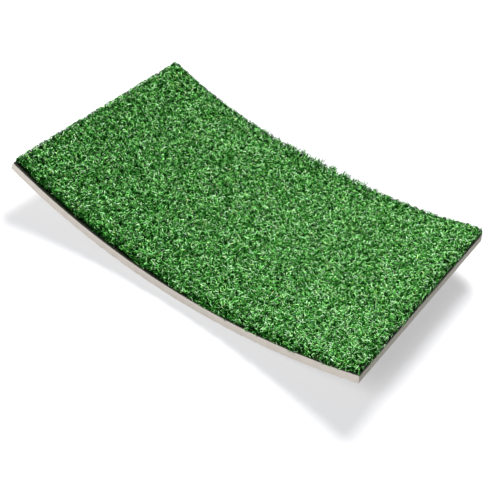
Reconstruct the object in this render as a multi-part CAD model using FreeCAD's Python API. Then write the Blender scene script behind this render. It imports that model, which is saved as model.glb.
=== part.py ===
import FreeCAD, Part
import math
import os

# A turf-topped balance board that rocks on its own curved underside.
# Frame: +X along the board's length, +Y across it, +Z up. The origin is the
# middle of the line on which the underside touches a level floor.
# Millimetres and degrees.

# Driving dimensions of the rigid deck
overall_length = 610.0      # between the raised ends, at the underside's edges
deck_width = 400.0
rocking_radius = 950.0      # of the underside, one arc from end to end
deck_thickness = 12.5
end_lean = 11.0             # of the end cuts, inwards from upright
underside_round = 1.2       # on the four edges of the underside
top_chamfer = 0.6           # on the four edges of the top face

# Driving dimensions of the turf that is bonded to it, from the deck upwards
adhesive_thickness = 0.4
coating_thickness = 1.0
weave_thickness = 0.9
pile_height = 13.0          # yarn above the woven cloth
adhesive_margin = 1.6       # the glue stops short of the deck's edges
turf_margin = 1.0           # and so does the trimmed turf, but by less

half_angle = math.degrees(math.asin(overall_length / 2 / rocking_radius))


def point_at(radius, angle):
    """A point on the arc of this radius, its angle counted from straight down."""
    a = math.radians(angle)
    return FreeCAD.Vector(radius * math.sin(a), 0, rocking_radius - radius * math.cos(a))


def end_angle(radius, margin):
    """Where the leaning end cut, moved inwards by the margin, meets this radius."""
    corner = point_at(rocking_radius, half_angle)
    x, z = corner.x - margin, corner.z - rocking_radius
    lean = math.radians(end_lean)
    slope_x, slope_z = -math.sin(lean), math.cos(lean)
    along = x * slope_x + z * slope_z
    rise = -along - math.sqrt(along ** 2 - x ** 2 - z ** 2 + radius ** 2)
    return math.degrees(math.atan2(x + rise * slope_x, -z - rise * slope_z))


def curved_layer(outer_radius, thickness, margin):
    """One layer that follows the board's curve, with its ends cut at the common lean."""
    inner_radius = outer_radius - thickness
    low, high = end_angle(outer_radius, margin), end_angle(inner_radius, margin)
    below = Part.Arc(point_at(outer_radius, -low), point_at(outer_radius, 0), point_at(outer_radius, low))
    above = Part.Arc(point_at(inner_radius, high), point_at(inner_radius, 0), point_at(inner_radius, -high))
    right_end = Part.LineSegment(point_at(outer_radius, low), point_at(inner_radius, high))
    left_end = Part.LineSegment(point_at(inner_radius, -high), point_at(outer_radius, -low))
    outline = Part.Wire([curve.toShape() for curve in (below, right_end, above, left_end)])
    width = deck_width - 2 * margin
    profile = Part.Face(outline)
    profile.translate(FreeCAD.Vector(0, -width / 2, 0))
    return profile.extrude(FreeCAD.Vector(0, width, 0))


def radius_of(point):
    """Distance from the axis of curvature."""
    return math.hypot(point.x, point.z - rocking_radius)


def edges_at_radius(shape, radius):
    """The four edges that bound the layer's face of this radius."""
    return [edge for edge in shape.Edges
            if all(abs(radius_of(vertex.Point) - radius) < 0.01 for vertex in edge.Vertexes)]


def curved_deck():
    """The rigid board: rounded along its underside, with the top edges broken."""
    deck = curved_layer(rocking_radius, deck_thickness, 0)
    deck = deck.makeFillet(underside_round, edges_at_radius(deck, rocking_radius))
    deck = deck.makeChamfer(top_chamfer, edges_at_radius(deck, rocking_radius - deck_thickness))
    return deck.Solids[0]


def turf_layers():
    """Glue, coating, woven cloth and pile, each lying on the one before it."""
    layers = [
        ("turf_adhesive_film", adhesive_thickness, adhesive_margin),
        ("turf_backing_coating", coating_thickness, turf_margin),
        ("turf_woven_backing", weave_thickness, turf_margin),
        ("turf_pile", pile_height, turf_margin),
    ]
    shapes = {}
    radius = rocking_radius - deck_thickness
    for name, thickness, margin in layers:
        shapes[name] = curved_layer(radius, thickness, margin)
        flat_length = 2 * radius * math.radians(end_angle(radius, margin))
        print(name, "flat size", round(flat_length, 1), "x", deck_width - 2 * margin, "mm")
        radius -= thickness
    return shapes


os.makedirs("parts", exist_ok=True)
pieces = {"curved_deck": curved_deck()}
pieces.update(turf_layers())
for name, shape in pieces.items():
    shape.exportStep("parts/" + name + ".step")
    box = shape.optimalBoundingBox()
    print(name, shape.ShapeType, len(shape.Solids), "valid" if shape.isValid() else "NOT VALID",
          "X", round(box.XMin, 2), round(box.XMax, 2), "Y", round(box.YMin, 2), round(box.YMax, 2),
          "Z", round(box.ZMin, 2), round(box.ZMax, 2), "volume", round(shape.Volume / 1000, 1), "cm3")
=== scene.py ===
import math

import bpy
import numpy as np
from mathutils import Matrix, Vector


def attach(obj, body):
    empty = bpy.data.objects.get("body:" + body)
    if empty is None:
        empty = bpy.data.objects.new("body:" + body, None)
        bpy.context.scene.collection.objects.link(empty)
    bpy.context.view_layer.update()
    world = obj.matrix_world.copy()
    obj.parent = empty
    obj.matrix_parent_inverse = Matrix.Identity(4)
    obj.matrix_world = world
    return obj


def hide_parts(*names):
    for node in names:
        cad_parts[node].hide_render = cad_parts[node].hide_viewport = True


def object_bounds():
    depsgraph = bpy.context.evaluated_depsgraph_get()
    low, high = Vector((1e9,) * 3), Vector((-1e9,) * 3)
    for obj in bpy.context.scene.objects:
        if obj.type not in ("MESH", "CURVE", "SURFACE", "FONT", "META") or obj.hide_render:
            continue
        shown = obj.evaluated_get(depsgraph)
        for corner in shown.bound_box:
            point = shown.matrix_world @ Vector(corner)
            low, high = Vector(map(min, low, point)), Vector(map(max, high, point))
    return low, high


# A turf-topped balance board, bent into one shallow arc, hollow side up.
# Metres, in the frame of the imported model: +X along the board, +Y across it, +Z up.
# "Flat" places are those on a layer before it was bent: along the board's arc,
# across its width, and above the layer's underside. Where something strays, wanders or
# leans, the number given is a standard deviation.

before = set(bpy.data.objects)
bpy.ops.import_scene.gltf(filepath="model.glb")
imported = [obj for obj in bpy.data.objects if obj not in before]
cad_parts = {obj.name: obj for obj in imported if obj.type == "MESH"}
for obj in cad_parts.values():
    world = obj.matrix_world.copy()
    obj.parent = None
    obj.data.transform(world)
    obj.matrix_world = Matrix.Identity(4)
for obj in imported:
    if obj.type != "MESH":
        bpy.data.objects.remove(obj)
cad_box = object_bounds()

# Random seeds
TURF_SEED = 7
FRAY_SEED = 19

# Tufts
ROW_GAUGE = 0.0043          # between two tufted rows
TUFT_PITCH = 0.0043         # between two tufts in a row
STRANDS_PER_TUFT = 4
ROWS_PER_PIECE = 7
ROOT_MARGIN = 0.0012        # from the outermost roots to the cloth's edge
ROOT_SCATTER = 0.0011       # how far a root strays from its tuft's place
FAR_EXTRA_ROWS = (0.8, 2.2, 3.8, 5.6)   # rows added at the far side, in root margins from it

# Strands. Where there are two numbers, each strand draws one between them.
RINGS = 7                   # cross-sections along one strand
STRAND_LENGTHS = (0.015, 0.021)
STRAND_WIDTH = 0.0012
HALF_WIDTHS = (0.38, 0.6)   # from a strand's middle to its side, in strand widths
STRAND_THICKNESS = 0.00045
TIP_TAPER = 0.45            # how much a strand narrows towards its tip
ROOT_PITCHES = (58, 90)     # degrees that a strand rises at its root
TIP_PITCHES = (-60, 30)     # and at its tip
CURLS = (1.0, 5.5)          # radians that a strand turns about the upright
TWISTS = (-7.0, 7.0)        # radians that it turns about itself
CRIMP = 0.0011              # how far a strand wanders from a smooth curl
LOWEST_TOP = 0.52           # how high the lowest strands stand, in layer thicknesses
TOP_RANGE = 0.56            # and how much higher the tallest do
UPRIGHT = (0.03, 0.05, 1.0)     # nearly so, since no strand may run exactly this way

# Strands near the turf's edges
EDGE_ZONE = 0.008           # strands rooted this near an edge lean out over it
SIDE_SPLAY = 0.0045         # how far they lean, along the two long sides
END_SPLAY = 0.0030          # and along the two ends
EDGE_DROOP = 0.0075         # and how far their tips drop at most
EDGE_RISE = 0.12            # how much taller they stand at an edge that they don't cover
COVER_SAG = 0.30            # and how much of their height they lose at one that they do
FLUSH_COVER = 0.65          # the cover at which they reach just to the edge
PULL_BACK = 0.85            # the share of what reaches farther that is drawn back
END_COVER = 0.75            # how well they cover the two ends, where 1 is fully
END_WAVE = (0.20, 70, 0)    # its wave: height, radians per metre and start
FAR_COVER = 0.15            # how well they cover the far side
NEAR_COVER = 0.50           # and the near side, halfway up its rise towards +X
NEAR_WAVE = (0.16, 95, 1.0)
NEAR_RISE = 0.42            # half of that rise
RISE_MIDDLE = -0.04         # where along the board it is halfway
RISE_REACH = 0.09           # and over what distance it happens
FAR_FLUFF = 0.0085          # how much taller and wider the pile is along the far side
FLUFF_ZONE = 0.020          # within this distance of the edge
FLUFF_MIDDLE = 0.02         # and most of all at this place along the board
FLUFF_REACH = 0.15          # fading over this distance from there
FLUFF_WAVES = ((0.35, 230, 0), (0.30, 610, 2))

# Tones of the yarn, from 0 for the darkest to 1 for the palest
DARKEST_TONE = -0.12
TONE_SPREAD = 1.2           # from the darkest strand to the palest
RING_TONE = 0.42            # how far the tone wanders at random along a strand; partly painted highlights, for glints on its twisting faces
END_PAINTED_LIGHT = 0.05             # painted light: paler by this much at the +X end
CORNER_PAINTED_LIGHT = 1.5           # and paler by this much per square metre towards its near corner, painted light too
EDGE_SHADE = 0.65           # darker by this much at the long sides
SHADE_LIFT = 0.45           # less this share of it where strands cover the edge
TONE_STRIP = 0.004          # half of the width that a strand takes on its map
MAP_MARGIN = 0.004          # kept free round the map

# Woven backing
TAPE_PITCH = 0.0024         # between two tapes of the weave
TAPE_WAVE = 0.00013         # how far a tape rises and dips
TAPE_THICKNESS = 0.00012
TAPE_HALF_WIDTHS = (0.00035, 0.0007)
FRAY_SHORTEST = 0.0002      # the shortest cut tape end that sticks out
FRAY_LENGTH = 0.0022        # and how much longer the longest is
FRAY_SHAPE = (0.8, 3.0)     # of the beta distribution of these lengths
FRAY_LEAN = 0.25            # how far an end leans sideways, in its lengths
FRAY_DROOP = 0.35           # and how far its tip hangs
FRAY_HEIGHTS = (0.35, 0.65)     # where it leaves the cloth, in layer thicknesses
FRAY_SECTIONS = ((-0.5, 1.0), (0.5, 0.9), (1.0, 0.55))   # place along an end, and its width there

# Colours, linear RGB. Where there are two, they are a mottle's dark and light.
DECK_LIGHT = (0.435, 0.400, 0.358)
DECK_DARK = (0.400, 0.364, 0.322)
# painted highlight: a paler band along the top of the board's edges
DECK_TOP_HIGHLIGHT = (0.480, 0.450, 0.402)
DECK_END_SHADE = (0.83, 0.86, 0.78)       # painted shade: what the two end faces keep of the deck's colour
GLUE = ((0.09, 0.075, 0.04), (0.20, 0.17, 0.10))
LATEX = ((0.008, 0.009, 0.006), (0.020, 0.022, 0.016))
TAPE = ((0.009, 0.014, 0.006), (0.024, 0.032, 0.018))
FRAYED_TAPE = ((0.010, 0.014, 0.008), (0.15, 0.16, 0.13))
FLOOR_COLOUR = (0.42, 0.42, 0.427)
FLOOR_GLOW = (0.99, 1.0, 1.02)

# Surfaces
DECK_MOTTLE = 55.0          # how fine a mottle or grain is: its noise texture's scale
DECK_GRAIN = 900.0
DECK_BUMP = 0.00015
DULL_MOTTLE = 250.0
DULL_BUMP = 0.0003
YARN_HUES = 190.0

# Studio
FLOOR_REACH = 12.0          # from the board to the floor's edges
FLOOR_GLOW_STRENGTH = 0.41
WORLD_STRENGTH = 0.22
KEY = {"place": (-1.05, 2.02, 2.26), "size": 1.6, "power": 270}
FILL = {"place": (-0.35, -2.05, 1.45), "size": 1.5, "power": 54}
SENSOR_WIDTH = 36.0         # millimetres, as is the lens
LENS = 80.55
AIM_OFFSET = (0.0278, -0.0282, -0.0431)     # from the board's middle to where the camera aims
AZIMUTH = 24.27             # degrees, from -Y towards +X
ELEVATION = 40.75
ROLL = 14.38
DISTANCE = 1.7128


# ---------------------------------------------------------------- geometry helpers

def node_points(node):
    """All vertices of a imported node, one row each."""
    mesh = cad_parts[node].data
    points = np.empty(len(mesh.vertices) * 3)
    mesh.vertices.foreach_get("co", points)
    return points.reshape(-1, 3)


class Layer:
    """The curve of one bent layer: its underside's arc, flat size and thickness."""

    def __init__(self, node):
        points = node_points(node)
        end = points[np.argmax(points[:, 0])]
        low = points[np.argmin(points[:, 2])]
        squares = end[0] ** 2 + end[2] ** 2 - low[0] ** 2 - low[2] ** 2
        self.centre = squares / (2 * (end[2] - low[2]))
        self.radius = math.hypot(end[0], self.centre - end[2])
        self.half_length = self.radius * math.asin(end[0] / self.radius)
        self.half_width = points[:, 1].max()
        near_middle = points[np.abs(points[:, 0]) < self.half_length / 6]
        radii = np.hypot(near_middle[:, 0], self.centre - near_middle[:, 2])
        self.thickness = self.radius - radii.min()

    def bent(self, flat):
        """Takes flat places onto the layer's curve."""
        angle = flat[..., 0] / self.radius
        reach = self.radius - flat[..., 2]
        return np.stack([reach * np.sin(angle), flat[..., 1], self.centre - reach * np.cos(angle)], -1)


def mesh_object(name, points, quads, triangles=None):
    """A flat-shaded mesh object made from points, quads and perhaps triangles."""
    triangles = np.empty((0, 3)) if triangles is None else triangles
    corners = np.concatenate([quads.ravel(), triangles.ravel()]).astype(np.int32)
    starts = np.concatenate([np.arange(len(quads)) * 4, quads.size + np.arange(len(triangles)) * 3])
    mesh = bpy.data.meshes.new(name)
    mesh.vertices.add(len(points))
    mesh.vertices.foreach_set("co", points.astype(np.float32).ravel())
    mesh.loops.add(len(corners))
    mesh.loops.foreach_set("vertex_index", corners)
    mesh.polygons.add(len(starts))
    mesh.polygons.foreach_set("loop_start", starts.astype(np.int32))
    mesh.update(calc_edges=True)
    piece = bpy.data.objects.new(name, mesh)
    bpy.context.scene.collection.objects.link(piece)
    return piece


def set_map(piece, places):
    """Gives the piece a map, from one (U, V) place for each vertex."""
    mesh = piece.data
    corners = np.empty(len(mesh.loops), np.int32)
    mesh.loops.foreach_get("vertex_index", corners)
    layer = mesh.uv_layers.new(name="OFBake")
    kept = np.clip(places[corners], MAP_MARGIN, 1 - MAP_MARGIN)
    layer.uv.foreach_set("vector", kept.astype(np.float32).ravel())


def finish_piece(piece, material):
    """Gives a new piece its material and the body that it rides on."""
    piece.data.materials.append(material)
    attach(piece, "root")


# ---------------------------------------------------------------- materials

def new_material(name):
    """A material with one Principled shader, and its nodes and links."""
    material = bpy.data.materials.new(name)
    material.use_nodes = True
    nodes = material.node_tree.nodes
    return material, nodes, material.node_tree.links, nodes["Principled BSDF"]


def noise(nodes, links, scale, detail=4.0, roughness=0.6):
    """A noise texture in object space."""
    texture = nodes.new("ShaderNodeTexNoise")
    texture.inputs["Scale"].default_value = scale
    texture.inputs["Detail"].default_value = detail
    texture.inputs["Roughness"].default_value = roughness
    links.new(nodes.new("ShaderNodeTexCoord").outputs["Object"], texture.inputs["Vector"])
    return texture.outputs["Fac"]


def ramp(nodes, links, value, stops):
    """A colour ramp fed by value, with (position, colour) stops."""
    node = nodes.new("ShaderNodeValToRGB")
    elements = node.color_ramp.elements
    elements[0].position, elements[0].color = stops[0][0], (*stops[0][1], 1)
    elements[1].position, elements[1].color = stops[-1][0], (*stops[-1][1], 1)
    for position, colour in stops[1:-1]:
        elements.new(position).color = (*colour, 1)
    links.new(value, node.inputs["Fac"])
    return node.outputs["Color"]


def scaled(nodes, links, value, low, high, first=0.0, last=1.0):
    """Takes a value from first to last to the range from low to high."""
    node = nodes.new("ShaderNodeMapRange")
    node.inputs["From Min"].default_value = first
    node.inputs["From Max"].default_value = last
    node.inputs["To Min"].default_value = low
    node.inputs["To Max"].default_value = high
    links.new(value, node.inputs["Value"])
    return node.outputs["Result"]


def mixed(nodes, links, kind, factor, first, second):
    """Mixes two colours. The factor is a number or a socket, the second colour a tuple or a socket."""
    node = nodes.new("ShaderNodeMix")
    node.data_type = "RGBA"
    node.blend_type = kind
    if isinstance(factor, float):
        node.inputs["Factor"].default_value = factor
    else:
        links.new(factor, node.inputs["Factor"])
    links.new(first, node.inputs["A"])
    if isinstance(second, tuple):
        node.inputs["B"].default_value = (*second, 1)
    else:
        links.new(second, node.inputs["B"])
    return node.outputs["Result"]


def bump(nodes, links, shader, height, distance):
    """Gives the shader a bump that follows height, up to distance metres."""
    node = nodes.new("ShaderNodeBump")
    node.inputs["Distance"].default_value = distance
    links.new(height, node.inputs["Height"])
    links.new(node.outputs["Normal"], shader.inputs["Normal"])


def place_in_thickness(nodes, links, layer):
    """0 at the layer's upper face, 1 at its underside."""
    place = nodes.new("ShaderNodeVectorMath")
    place.operation = "MULTIPLY_ADD"
    place.inputs[1].default_value = (1, 0, 1)
    place.inputs[2].default_value = (0, 0, -layer.centre)
    links.new(nodes.new("ShaderNodeTexCoord").outputs["Object"], place.inputs[0])
    reach = nodes.new("ShaderNodeVectorMath")
    reach.operation = "LENGTH"
    links.new(place.outputs["Vector"], reach.inputs[0])
    top = layer.radius - layer.thickness
    return scaled(nodes, links, reach.outputs["Value"], 0.0, 1.0, top, layer.radius)


def deck_material(layer):
    """Pale greige moulded board: a faint mottle, fine grain, a painted highlight along the top of its
    edges and painted shade on its two end faces.
    """
    material, nodes, links, shader = new_material("deck_greige")
    mottle = noise(nodes, links, DECK_MOTTLE, detail=5.0)
    colour = ramp(nodes, links, mottle, [(0.3, DECK_DARK), (0.6, DECK_LIGHT), (0.8, DECK_LIGHT)])
    depth = place_in_thickness(nodes, links, layer)
    # Painted highlight: a paler band along the top of the edge faces, as if light caught the upper arris.
    top_highlight_band = ramp(nodes, links, depth, [(0.0, (1, 1, 1)), (0.10, (0.8, 0.8, 0.8)), (0.16, (0, 0, 0))])
    with_top_highlight = mixed(nodes, links, "MIX", top_highlight_band, colour, DECK_TOP_HIGHLIGHT)
    # Painted shade: the two end faces, found by their normals, are darkened.
    facing = nodes.new("ShaderNodeVectorMath")
    facing.operation = "ABSOLUTE"
    links.new(nodes.new("ShaderNodeTexCoord").outputs["Normal"], facing.inputs[0])
    parts = nodes.new("ShaderNodeSeparateXYZ")
    links.new(facing.outputs["Vector"], parts.inputs["Vector"])
    end_shade_mask = scaled(nodes, links, parts.outputs["X"], 0.0, 1.0, 0.7, 0.9)
    links.new(mixed(nodes, links, "MULTIPLY", end_shade_mask, with_top_highlight, DECK_END_SHADE), shader.inputs["Base Color"])
    grain = noise(nodes, links, DECK_GRAIN, detail=3.0)
    links.new(scaled(nodes, links, grain, 0.5, 0.75), shader.inputs["Roughness"])
    bump(nodes, links, shader, grain, DECK_BUMP)
    return material


def strand_material():
    """Green yarn. The map's U is the strand's tone and its V runs from root to tip. Its palest tones are
    partly painted highlights, and it darkens towards the roots with painted shade.
    """
    material, nodes, links, shader = new_material("turf_yarn")
    uv = nodes.new("ShaderNodeUVMap")
    uv.uv_map = "OFBake"
    parts = nodes.new("ShaderNodeSeparateXYZ")
    links.new(uv.outputs["UV"], parts.inputs["Vector"])
    # Tones differ from strand to strand; the palest stand partly for glints on the yarn, painted
    # highlights.
    tone = ramp(nodes, links, parts.outputs["X"], [
        (0.0, (0.004, 0.050, 0.005)),
        (0.35, (0.036, 0.250, 0.026)),
        (0.65, (0.180, 0.620, 0.110)),
        (0.85, (0.390, 0.960, 0.270)),
        (1.0, (0.700, 1.000, 0.580)),
    ])
    # Painted shade: each strand darkens towards its root, for the shade deep in the pile.
    depth = ramp(nodes, links, parts.outputs["Y"], [
        (0.0, (0.010, 0.014, 0.010)),
        (0.48, (0.02, 0.10, 0.02)),
        (0.72, (1.0, 1.0, 1.0)),
    ])
    hue = ramp(nodes, links, noise(nodes, links, YARN_HUES, detail=2.0), [
        (0.30, (0.78, 0.98, 1.15)),
        (0.48, (0.95, 1.0, 1.0)),
        (0.60, (0.95, 1.0, 1.0)),
        (0.72, (1.38, 1.04, 0.60)),
    ])
    shaded = mixed(nodes, links, "MULTIPLY", 1.0, tone, depth)
    links.new(mixed(nodes, links, "MULTIPLY", 1.0, shaded, hue), shader.inputs["Base Color"])
    shader.inputs["Roughness"].default_value = 0.30
    shader.inputs["Specular IOR Level"].default_value = 0.02
    shader.inputs["Specular Tint"].default_value = (0.70, 1.0, 0.60, 1.0)
    return material


def mottled_material(name, dark, light, roughness):
    """A dull layer with a faint mottle in its colour and surface."""
    material, nodes, links, shader = new_material(name)
    mottle = noise(nodes, links, DULL_MOTTLE)
    links.new(ramp(nodes, links, mottle, [(0.3, dark), (0.7, light)]), shader.inputs["Base Color"])
    shader.inputs["Roughness"].default_value = roughness
    shader.inputs["Specular IOR Level"].default_value = 0.15
    bump(nodes, links, shader, mottle, DULL_BUMP)
    return material


# ---------------------------------------------------------------- turf

def spread_over_tufts(count, rng):
    """Random shares from 0 to 1, spread evenly over the strands of every tuft."""
    tufts = count // STRANDS_PER_TUFT
    order = rng.random((tufts, STRANDS_PER_TUFT)).argsort(axis=1).ravel()
    return (order + rng.random(count)) / STRANDS_PER_TUFT


def strand_centrelines(layer, roots, rng):
    """Curled centrelines of strands on the flat turf, shaped (strand, ring, axis)."""
    count = len(roots)
    along_strand = np.linspace(0, 1, RINGS)
    length = rng.uniform(*STRAND_LENGTHS, count)
    first_pitch = np.radians(rng.uniform(*ROOT_PITCHES, count))
    last_pitch = np.radians(rng.uniform(*TIP_PITCHES, count))
    heading = 2 * np.pi * spread_over_tufts(count, rng)
    turn = rng.uniform(*CURLS, count) * rng.choice((-1, 1), count)
    pitch = first_pitch[:, None] + (last_pitch - first_pitch)[:, None] * along_strand ** 1.5
    azimuth = heading[:, None] + turn[:, None] * along_strand ** 1.3
    step = np.stack([np.cos(pitch) * np.cos(azimuth), np.cos(pitch) * np.sin(azimuth), np.sin(pitch)], -1)
    step = (step[:, 1:] + step[:, :-1]) / 2 * (length / (RINGS - 1))[:, None, None]
    path = np.concatenate([np.zeros((count, 1, 3)), np.cumsum(step, axis=1)], axis=1)
    path[:, 2:] += rng.normal(0, CRIMP, (count, RINGS - 2, 3))
    top = path[..., 2].max(axis=1)
    wanted = layer.thickness * (LOWEST_TOP + TOP_RANGE * spread_over_tufts(count, rng))
    path[..., 2] *= (wanted / top)[:, None]
    return leaning_out(layer, path + roots[:, None, :], roots)


def edge_nearness(limit, roots, axis):
    """0 for roots inside the edge zone, rising to 1 at the edge, as a column."""
    return np.clip(1 - (limit - np.abs(roots[:, axis])) / EDGE_ZONE, 0, 1)[:, None]


def wave(place, height, rate, start):
    """A sine wave along one direction."""
    return height * np.sin(place * rate + start)


def end_cover(roots):
    """How well the strands at the two ends hang over them, from about 0 to 1, as a column."""
    return END_COVER + wave(roots[:, 1:2], *END_WAVE)


def side_cover(roots):
    """The same for the strands at the two long sides."""
    along = roots[:, :1]
    rising = NEAR_COVER + NEAR_RISE * np.tanh((along - RISE_MIDDLE) / RISE_REACH)
    return np.where(roots[:, 1:2] < 0, rising + wave(along, *NEAR_WAVE), FAR_COVER)


def far_swell(layer, roots):
    """How much the tips along the far side stand out, raggedly, as a column."""
    along, across = roots[:, :1], roots[:, 1:2]
    fluffed = np.clip(1 - (layer.half_width - across) / FLUFF_ZONE, 0, 1)
    ragged = 1 + sum(wave(along, *of_ridge) for of_ridge in FLUFF_WAVES)
    return FAR_FLUFF * fluffed * np.exp(-((along - FLUFF_MIDDLE) / FLUFF_REACH) ** 2) * ragged


def leaning_out(layer, path, roots):
    """Lets the strands near an edge lean out over it and droop, and those at the far side swell."""
    along_strand = np.linspace(0, 1, RINGS)
    edges = ((0, layer.half_length, END_SPLAY, end_cover(roots)),
             (1, layer.half_width, SIDE_SPLAY, side_cover(roots)))
    for axis, limit, splay, cover in edges:
        nearness = edge_nearness(limit, roots, axis)
        outward = np.sign(roots[:, axis])[:, None]
        path[..., axis] += outward * nearness * cover * splay * along_strand
        path[..., 2] *= 1 + nearness * (EDGE_RISE - COVER_SAG * cover)
        path[..., 2] -= nearness * cover * EDGE_DROOP * along_strand ** 2
        allowed = limit + (cover - FLUSH_COVER) * splay
        excess = np.maximum(np.abs(path[..., axis]) - allowed, 0)
        path[..., axis] -= np.sign(path[..., axis]) * excess * PULL_BACK
    swell = far_swell(layer, roots) * along_strand ** 1.5
    path[..., 1] += swell
    path[..., 2] += swell
    return path


def strand_tones(layer, roots, rng):
    """Tones along every strand: its own, and a little that changes from ring to ring and partly stands
    for glints (painted highlights); painted light towards the +X end and its near corner, and painted
    shade at the long sides.
    """
    own = DARKEST_TONE + TONE_SPREAD * spread_over_tufts(len(roots), rng)[:, None]
    along, nearwards = roots[:, :1], -roots[:, 1:2]
    # Painted light: paler towards the +X end and the near +X corner.
    painted_light = END_PAINTED_LIGHT * along / layer.half_length
    painted_light += CORNER_PAINTED_LIGHT * np.clip(along, 0, None) * np.clip(nearwards, 0, None)
    shade = EDGE_SHADE * edge_nearness(layer.half_width, roots, 1) * (1 - SHADE_LIFT * side_cover(roots))
    return own + painted_light - shade + rng.normal(0, RING_TONE, (len(roots), RINGS))


def unit(vectors):
    """The same directions at length 1."""
    return vectors / np.linalg.norm(vectors, axis=-1, keepdims=True)


def strand_tubes(path, rng):
    """Flattened three-sided tubes round the centrelines: (strand, ring, corner, axis)."""
    count = len(path)
    along_strand = np.linspace(0, 1, RINGS)
    tangent = unit(np.gradient(path, axis=1))
    side = unit(np.cross(tangent, UPRIGHT))
    normal = np.cross(side, tangent)
    twist = rng.uniform(0, np.pi, count)[:, None] + rng.uniform(*TWISTS, count)[:, None] * along_strand
    twist = twist[..., None]
    flat = side * np.cos(twist) + normal * np.sin(twist)
    thick = normal * np.cos(twist) - side * np.sin(twist)
    taper = (1 - TIP_TAPER * along_strand ** 3)[None, :, None]
    half = rng.uniform(*HALF_WIDTHS, count)[:, None, None] * STRAND_WIDTH * taper
    rise = STRAND_THICKNESS * taper
    return np.stack([path - flat * half, path + flat * half, path + thick * rise], axis=2)


def tube_faces(count):
    """Quads of every strand's tube, and its two end caps as triangles."""
    strand = (np.arange(count) * RINGS * 3)[:, None, None, None]
    ring = (np.arange(RINGS - 1) * 3)[None, :, None, None]
    corner = np.arange(3)
    following = (corner + 1) % 3
    quad = np.stack([corner, following, following + 3, corner + 3], -1)[None, None]
    quads = (strand + ring + quad).reshape(-1, 4)
    first = np.array([2, 1, 0])[None]
    last = np.array([0, 1, 2])[None] + (RINGS - 1) * 3
    caps = np.concatenate([strand.reshape(-1, 1) + first, strand.reshape(-1, 1) + last])
    return quads, caps


def turf_piece(name, layer, roots, rng):
    """The strands with these roots as one mesh, with a map of their tones and depths."""
    tubes = strand_tubes(strand_centrelines(layer, roots, rng), rng)
    quads, caps = tube_faces(len(roots))
    piece = mesh_object(name, layer.bent(tubes.reshape(-1, 3)), quads, caps)
    tone = strand_tones(layer, roots, rng)
    across_map = np.repeat(tone.ravel(), 3) + np.tile([-TONE_STRIP, TONE_STRIP, 0.0], len(roots) * RINGS)
    up_map = np.tile(np.repeat(np.linspace(0, 1, RINGS), 3), len(roots))
    set_map(piece, np.stack([across_map, up_map], -1))
    return piece


def make_turf(layer, material):
    """Tufted rows along the board, in bands of a few rows each."""
    rng = np.random.default_rng(TURF_SEED)
    rows = int(2 * layer.half_width / ROW_GAUGE)
    tufts = int(2 * layer.half_length / TUFT_PITCH)
    across = np.linspace(ROOT_MARGIN - layer.half_width, layer.half_width - ROOT_MARGIN, rows)
    across = np.concatenate([across, layer.half_width - ROOT_MARGIN * np.array(FAR_EXTRA_ROWS)])
    along = np.linspace(ROOT_MARGIN - layer.half_length, layer.half_length - ROOT_MARGIN, tufts)
    for band in range(math.ceil(len(across) / ROWS_PER_PIECE)):
        of_band = across[band * ROWS_PER_PIECE:(band + 1) * ROWS_PER_PIECE]
        tuft_places = np.stack(np.meshgrid(along, of_band, indexing="ij"), -1).reshape(-1, 2)
        roots = np.repeat(tuft_places, STRANDS_PER_TUFT, axis=0)
        roots = roots + rng.normal(0, ROOT_SCATTER, roots.shape)
        roots = np.concatenate([roots, np.zeros((len(roots), 1))], axis=1)
        piece = turf_piece("turf_rows_%02d" % (band + 1), layer, roots, rng)
        finish_piece(piece, material)
        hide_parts("turf_pile")


# ---------------------------------------------------------------- woven backing

def weave_grid(layer):
    """Flat places of the weave's crossings, rising and dipping by turns: (along, across, axis)."""
    columns = 2 * round(layer.half_length / TAPE_PITCH) + 1
    rows = 2 * round(layer.half_width / TAPE_PITCH) + 1
    along = np.linspace(-layer.half_length, layer.half_length, columns)
    across = np.linspace(-layer.half_width, layer.half_width, rows)
    place = np.stack(np.meshgrid(along, across, indexing="ij"), -1)
    rise = TAPE_WAVE * (-1.0) ** np.add.outer(np.arange(columns), np.arange(rows))
    return np.concatenate([place, rise[..., None]], -1)


def make_woven_backing(layer, material):
    """A closed thin sheet of woven tapes, in the space of the backing's layer."""
    grid = weave_grid(layer)
    columns, rows = grid.shape[:2]
    lower = grid + [0, 0, TAPE_WAVE]
    upper = grid + [0, 0, layer.thickness - TAPE_WAVE]
    points = np.concatenate([lower.reshape(-1, 3), upper.reshape(-1, 3)])
    index = np.arange(columns * rows).reshape(columns, rows)
    count = columns * rows
    first, second = index[:-1, :-1], index[1:, :-1]
    third, fourth = index[1:, 1:], index[:-1, 1:]
    top = np.stack([first, second, third, fourth], -1).reshape(-1, 4) + count
    bottom = np.stack([fourth, third, second, first], -1).reshape(-1, 4)
    rim = np.concatenate([index[:, 0], index[-1, 1:], index[-2::-1, -1], index[0, -2:0:-1]])
    following = np.roll(rim, -1)
    side = np.stack([rim, following, following + count, rim + count], -1)
    sheet = mesh_object("woven_backing_sheet", layer.bent(points), np.concatenate([top, bottom, side]))
    finish_piece(sheet, material)
    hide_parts("turf_woven_backing")
    return sheet


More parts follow.
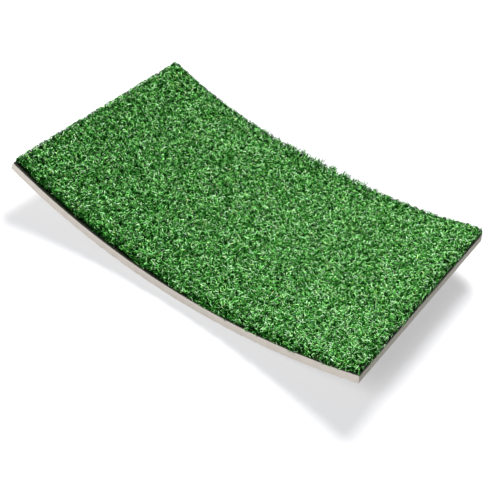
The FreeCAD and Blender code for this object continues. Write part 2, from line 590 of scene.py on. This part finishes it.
def tape_end_sections(layer, rng):
    """Four-cornered sections of the cut tape ends on all edges: (end, section, corner, axis)."""
    grid = weave_grid(layer)
    cuts = (((0, -1), grid[1:-1, 0]), ((0, 1), grid[1:-1, -1]),
            ((-1, 0), grid[0, 1:-1]), ((1, 0), grid[-1, 1:-1]))
    roots = np.concatenate([places[:, :2] for _, places in cuts])
    outward = np.concatenate([np.tile(direction, (len(places), 1)) for direction, places in cuts])
    sideways = np.stack([-outward[:, 1], outward[:, 0]], -1)
    count = len(roots)
    length = FRAY_SHORTEST + FRAY_LENGTH * rng.beta(*FRAY_SHAPE, (count, 1))
    lean = sideways * rng.normal(0, FRAY_LEAN, (count, 1)) * length
    half = rng.uniform(*TAPE_HALF_WIDTHS, (count, 1))
    height = layer.thickness * rng.uniform(*FRAY_HEIGHTS, (count, 1))
    sections = []
    for share, width in FRAY_SECTIONS:
        middle = roots + (outward * length + lean * abs(share)) * share
        level = height - FRAY_DROOP * max(share, 0) * length
        corners = []
        for side, lift in ((-1, 0.0), (1, 0.0), (1, TAPE_THICKNESS), (-1, TAPE_THICKNESS)):
            place = middle + sideways * side * half * width
            corners.append(np.concatenate([place, level + lift], -1))
        sections.append(np.stack(corners, 1))
    return np.stack(sections, 1)


def make_frayed_ends(layer, material):
    """Cut ends of the backing's tapes, sticking out along its four edges."""
    sections = tape_end_sections(layer, np.random.default_rng(FRAY_SEED))
    ring = np.arange(4)
    turned = np.roll(ring, -1)
    walls = [np.stack([ring, turned, turned + 4, ring + 4], -1) + 4 * section for section in (0, 1)]
    faces = np.concatenate([*walls, [[3, 2, 1, 0]], [[8, 9, 10, 11]]])
    quads = (np.arange(len(sections))[:, None, None] * 12 + faces).reshape(-1, 4)
    fringe = mesh_object("frayed_tape_ends", layer.bent(sections.reshape(-1, 3)), quads)
    finish_piece(fringe, material)
    return fringe


# ---------------------------------------------------------------- studio

def make_floor():
    """A pale, faintly glowing floor, as on a light table."""
    reach = FLOOR_REACH
    corners = np.array([(-reach, -reach, 0), (reach, -reach, 0), (reach, reach, 0), (-reach, reach, 0)])
    floor = mesh_object("studio_floor", corners, np.array([[0, 1, 2, 3]]))
    material, _, _, shader = new_material("studio_floor")
    shader.inputs["Base Color"].default_value = (*FLOOR_COLOUR, 1)
    shader.inputs["Roughness"].default_value = 0.9
    shader.inputs["Emission Color"].default_value = (*FLOOR_GLOW, 1)
    shader.inputs["Emission Strength"].default_value = FLOOR_GLOW_STRENGTH
    floor.data.materials.append(material)


def area_light(name, place, size, power):
    """A round soft light that faces the board."""
    data = bpy.data.lights.new(name, "AREA")
    data.shape = "DISK"
    data.size = size
    data.energy = power
    light = bpy.data.objects.new(name, data)
    light.location = place
    light.rotation_euler = Vector(place).to_track_quat("Z", "Y").to_euler()
    bpy.context.scene.collection.objects.link(light)


def make_camera():
    """A long lens that looks down over the near side and the +X end, turned a little."""
    data = bpy.data.cameras.new("camera")
    data.sensor_width = SENSOR_WIDTH
    data.lens = LENS
    camera = bpy.data.objects.new("camera", data)
    low, high = cad_box
    aim = (low + high) / 2 + Vector(AIM_OFFSET)
    azimuth = math.radians(AZIMUTH)
    elevation = math.radians(ELEVATION)
    level = math.cos(elevation)
    back = Vector((math.sin(azimuth) * level, -math.cos(azimuth) * level, math.sin(elevation)))
    camera.location = aim + back * DISTANCE
    upright = (-back).to_track_quat("-Z", "Y").to_matrix()
    camera.rotation_euler = (upright @ Matrix.Rotation(math.radians(ROLL), 3, "Z")).to_euler()
    bpy.context.scene.collection.objects.link(camera)
    bpy.context.scene.camera = camera


def make_world():
    """An even, dim white surrounding."""
    world = bpy.data.worlds.new("studio")
    world.use_nodes = True
    background = world.node_tree.nodes["Background"]
    background.inputs["Color"].default_value = (1, 1, 1, 1)
    background.inputs["Strength"].default_value = WORLD_STRENGTH
    bpy.context.scene.world = world


# ---------------------------------------------------------------- the board

def dress_node(node, material):
    """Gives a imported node's object a better material in all its slots."""
    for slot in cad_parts[node].material_slots:
        slot.material = material


make_turf(Layer("turf_pile"), strand_material())

backing = Layer("turf_woven_backing")
tape = mottled_material("backing_tape", *TAPE, 0.55)
frayed = mottled_material("frayed_tape", *FRAYED_TAPE, 0.5)
sheet = make_woven_backing(backing, tape)
fringe = make_frayed_ends(backing, frayed)

dress_node("curved_deck", deck_material(Layer("curved_deck")))
dress_node("turf_adhesive_film", mottled_material("dried_glue", *GLUE, 0.5))
dress_node("turf_backing_coating", mottled_material("latex_coating", *LATEX, 0.7))

make_floor()
make_camera()
make_world()
area_light("key", **KEY)
area_light("fill", **FILL)
bpy.context.scene.view_settings.view_transform = "Standard"
